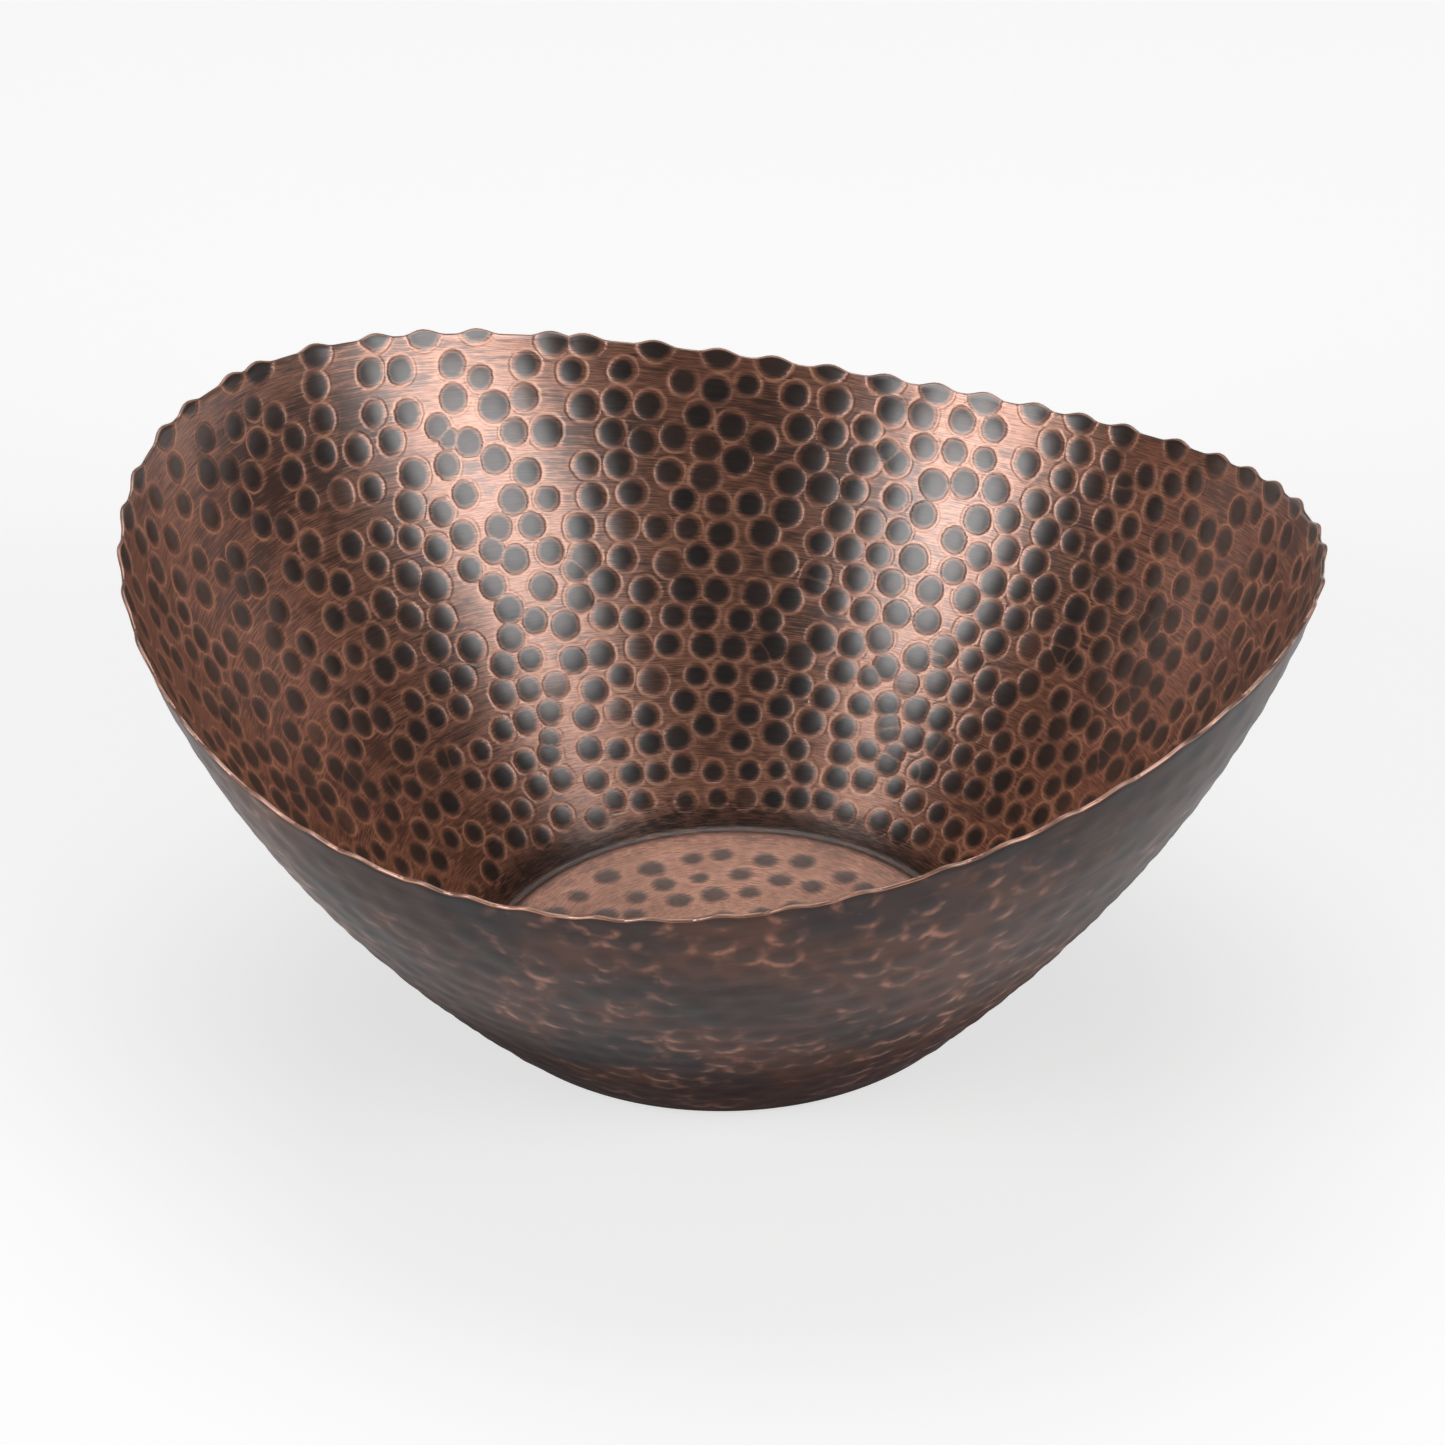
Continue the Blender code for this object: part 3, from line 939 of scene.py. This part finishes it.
def make_outside_finish():
    """Dark patina, painted darker towards the foot as shade, then worn and cold patches, swellings, and
    swelling tops and crescents that are partly painted highlights, mixed in that order.
    """
    finish = Finish("dark_patina")
    place = finish.place()
    length = finish.parts(finish.note("brush"))[2]
    gap_a, gap_b = mark_gaps(finish, place)
    gap = finish.smaller(gap_a, gap_b)
    climb = finish.rise(length, WALL_LENGTH + 5 * MM, WALL_LENGTH + 70 * MM)

    fine_lines = brush_lines(finish, 14.0, 1600.0, 3.0)
    broad_lines = brush_lines(finish, 7.0, 330.0, 3.0)
    patches = finish.noise(place, 19.0, 3.0, 0.55)
    blotches = finish.noise(place, 85.0, 2.0)
    lines = finish.minus(broad_lines, 0.5)
    worn = finish.rise(finish.plus(patches, finish.times(lines, 0.25)), 0.40, 0.62)
    worn = finish.times(worn, finish.blend(climb, 0.3, 1.0))
    cold = finish.times(finish.rise(finish.noise(place, 24.0), 0.48, 0.62), finish.blend(climb, 0.2, 0.9))

    crescent = finish.larger(crescent_round_mark(finish, place, "mark_a", gap_a),
                             crescent_round_mark(finish, place, "mark_b", gap_b))
    broken = finish.times(finish.rise(finish.noise(place, 180.0, 3.0), 0.38, 0.66),
                          finish.rise(blotches, 0.40, 0.60))
    crescent = finish.times(crescent, broken, worn)
    # Painted highlight, partly rubbed copper: paler tops of the swellings, more of them low on the wall.
    top = finish.times(finish.rise(gap, -3.4, -1.2, 1.0, 0.0), finish.rise(blotches, 0.50, 0.66),
                       finish.blend(climb, 0.8, 0.3))
    on_swelling = finish.rise(gap, -2.2, 0.2, 1.0, 0.0)
    reddish = finish.times(worn, finish.rise(fine_lines, 0.2, 0.7, 0.6, 0.9))

    colour = finish.mix(finish.rise(broad_lines, 0.3, 0.7), OUTSIDE_DARK, OUTSIDE_PALE)
    # Painted shade: the colour darkens towards the foot.
    colour = finish.mix(finish.blend(climb, 0.65, 0.0), colour, PAINTED_FOOT_SHADE)
    colour = finish.mix(finish.times(reddish, 0.75), colour, WORN_PATCH)
    colour = finish.mix(finish.times(on_swelling, 0.42), colour, SWELLING)
    colour = finish.mix(finish.times(cold, 0.75), colour, COLD_PATCH)
    colour = finish.mix(finish.times(top, 0.45), colour, WORN_TOP_HIGHLIGHT)
    # The crescents are rubbed copper and also a painted highlight on the lower side of each swelling.
    colour = finish.mix(finish.times(crescent, 0.80), colour, CRESCENT)
    # The outer rim edge is painted pale: bare copper, and a painted highlight along it.
    at_edge = finish.rise(length, EDGE_LENGTH - 0.25 * MM, EDGE_LENGTH)
    rubbed = finish.times(at_edge, finish.rise(blotches, 0.38, 0.60, 0.4, 0.9))
    colour = finish.mix(rubbed, colour, BARE_OUTER_EDGE_HIGHLIGHT)
    metal = finish.larger(finish.times(crescent, 0.6), at_edge)

    normal = finish.bump(finish.plus(fine_lines, broad_lines), 0.03 * MM, 0.4)
    wax = finish.rise(length, WALL_LENGTH + 30 * MM, WALL_LENGTH + 105 * MM)
    finish.set(base_color=colour, metallic=metal, roughness=finish.blend(fine_lines, 0.38, 0.50),
               normal=normal, tangent=finish.round_the_bowl(), anisotropic=0.4,
               anisotropic_rotation=0.25, ior=1.03,
               coat_weight=wax, coat_roughness=0.42, coat_ior=1.26, coat_normal=normal)
    return finish.material


bowl_mesh.materials.append(make_outside_finish())
print("finishes:", [material.name for material in bowl_mesh.materials])

# %% [markdown]
# ## The pads
#
# Under the floor sit four small rubber discs. Their shape in the frame is right, so they stay as
# they are and only get a matte black rubber with a fine moulded grain and a little dust.
#
# They hardly show, so two layers of noise, one for the grain and one for the dust, are enough.

# %% The pads' finish
RUBBER = (0.018, 0.018, 0.019)
DUSTY_RUBBER = (0.055, 0.052, 0.050)


def make_rubber():
    """Black rubber, dusty in patches, with a grain a third of a millimetre across."""
    finish = Finish("black_rubber")
    place = finish.place()
    grain = finish.noise(place, 3000.0)
    dust = finish.noise(place, 300.0, 3.0)
    finish.set(base_color=finish.mix(finish.rise(dust, 0.4, 0.8), RUBBER, DUSTY_RUBBER),
               roughness=finish.blend(grain, 0.55, 0.8), normal=finish.bump(grain, 0.03 * MM))
    return finish.material


rubber = make_rubber()
pads = {name: pad for name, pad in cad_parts.items() if name.startswith("base_pad")}
for pad in pads.values():
    pad.data.materials.clear()
    pad.data.materials.append(rubber)
print("rubber on", list(pads))

# %% [markdown]
# ## The table
#
# The bowl stands on a plain white table. The table glows a little by itself, which keeps the shadow
# under the bowl soft and pale, as in a light tent.
#
# Lights under a glass table would do the same, but they are harder to balance than one number.

# %% The table
TABLE_HALF = 6.0                   # metres from the middle to each side
TABLE_GREY = (0.60, 0.60, 0.60, 1.0)
TABLE_GLOW = 0.62


def make_table():
    """One square face on z = 0."""
    corners = [(-1, -1), (1, -1), (1, 1), (-1, 1)]
    mesh = bpy.data.meshes.new("table")
    mesh.from_pydata([(x * TABLE_HALF, y * TABLE_HALF, 0) for x, y in corners], [], [(0, 1, 2, 3)])
    table = bpy.data.objects.new("table", mesh)
    bpy.context.collection.objects.link(table)
    finish = Finish("white_table")
    finish.set(base_color=TABLE_GREY, roughness=0.9,
               emission_color=(1.0, 1.0, 1.0, 1.0), emission_strength=TABLE_GLOW)
    mesh.materials.append(finish.material)


make_table()
print(f"table {2 * TABLE_HALF:.0f} m wide")

# %% [markdown]
# ## The lights
#
# Polished metal is a picture of what stands round it, so the lights are placed for their reflections.
# Two tall soft boxes, one on each side of the camera, make the two pale bands that cross the back of
# the bowl. A third hangs overhead, a little behind the bowl, and lights the table and the floor of
# the bowl. Everything else is dim, because metal only looks like metal when it has something dark to
# reflect too. The view angle comes first, since the boxes are placed from it.
#
# A picture of a whole room would light the bowl as well, but each band could then not be moved,
# widened or dimmed alone.

# %% The lights
VIEW_ANGLE = -66.3                 # the camera's direction from the bowl, in degrees from +X
BOX_DISTANCE = 2.0                 # metres from the bowl to each side box
BOX_MIDDLE = 1.0                   # height of a side box's middle
BOX_HEIGHT = 1.7
SIDE_BOXES = (("left_box", -57.6, 1.03, 4.1),   # degrees from the camera, width, radiance
              ("right_box", 54.8, 1.3, 3.45))
TOP_BEHIND = 1.1                   # metres from above the bowl to the top box, away from the camera
TOP_HEIGHT = 2.6
TOP_SIDE = 2.1
TOP_RADIANCE = 1.7
ROOM_GREY = 0.05


def direction(degrees, rise):
    """Unit vector at an angle from +X and a rise above the table, both in degrees."""
    a, e = np.radians(degrees), np.radians(rise)
    return Vector((np.cos(a) * np.cos(e), np.sin(a) * np.cos(e), np.sin(e)))


def soft_box(name, place, aim, width, height, radiance):
    """A rectangular light. Its power is radiance times pi times its area."""
    data = bpy.data.lights.new(name, "AREA")
    data.shape = "RECTANGLE"
    data.size = width
    data.size_y = height
    data.energy = radiance * np.pi * width * height
    box = bpy.data.objects.new(name, data)
    box.location = place
    box.rotation_euler = (Vector(aim) - Vector(place)).to_track_quat("-Z", "Y").to_euler()
    box.visible_camera = False
    bpy.context.collection.objects.link(box)


for name, offset, width, radiance in SIDE_BOXES:
    foot = direction(VIEW_ANGLE + offset, 0.0) * BOX_DISTANCE
    soft_box(name, (foot.x, foot.y, BOX_MIDDLE), (0.0, 0.0, BOX_MIDDLE), width, BOX_HEIGHT, radiance)
behind = direction(VIEW_ANGLE, 0.0) * -TOP_BEHIND
soft_box("top_box", (behind.x, behind.y, TOP_HEIGHT), (0.0, 0.0, 0.0), TOP_SIDE, TOP_SIDE, TOP_RADIANCE)

world = bpy.data.worlds.new("dim_room")
world.use_nodes = True
world.node_tree.nodes["Background"].inputs["Color"].default_value = (ROOM_GREY, ROOM_GREY, ROOM_GREY, 1.0)
bpy.context.scene.world = world
bpy.context.scene.view_settings.view_transform = "Standard"
print("lights:", [light.name for light in bpy.data.lights])

# %% [markdown]
# ## The camera
#
# The camera looks down into the bowl from its front left, over one low side, from far enough away
# for a long lens. It looks a little over the bowl's middle, so that the bowl sits low in the frame.

# %% The camera
VIEW_RISE = 32.3                   # degrees above the table
VIEW_DISTANCE = 1.5                # metres
VIEW_LENS = 145.3                  # mm
SENSOR = 36.0                      # mm
VIEW_ROLL = -1.27                  # degrees; the camera was held a touch askew
AIM_HEIGHT = FOOT + 50.0 * MM
AIM_LIFT = 0.811                   # degrees by which it looks over the aim point

lens = bpy.data.cameras.new("camera")
lens.lens = VIEW_LENS
lens.sensor_width = SENSOR
camera = bpy.data.objects.new("camera", lens)
back = direction(VIEW_ANGLE, VIEW_RISE)
camera.location = Vector((0.0, 0.0, AIM_HEIGHT)) + back * VIEW_DISTANCE
look = -direction(VIEW_ANGLE, VIEW_RISE - AIM_LIFT)
roll = Matrix.Rotation(np.radians(VIEW_ROLL), 4, "Z")
camera.rotation_euler = (look.to_track_quat("-Z", "Y").to_matrix().to_4x4() @ roll).to_euler()
bpy.context.collection.objects.link(camera)
bpy.context.scene.camera = camera
print("camera at", tuple(round(value, 3) for value in camera.location))

# %% [markdown]
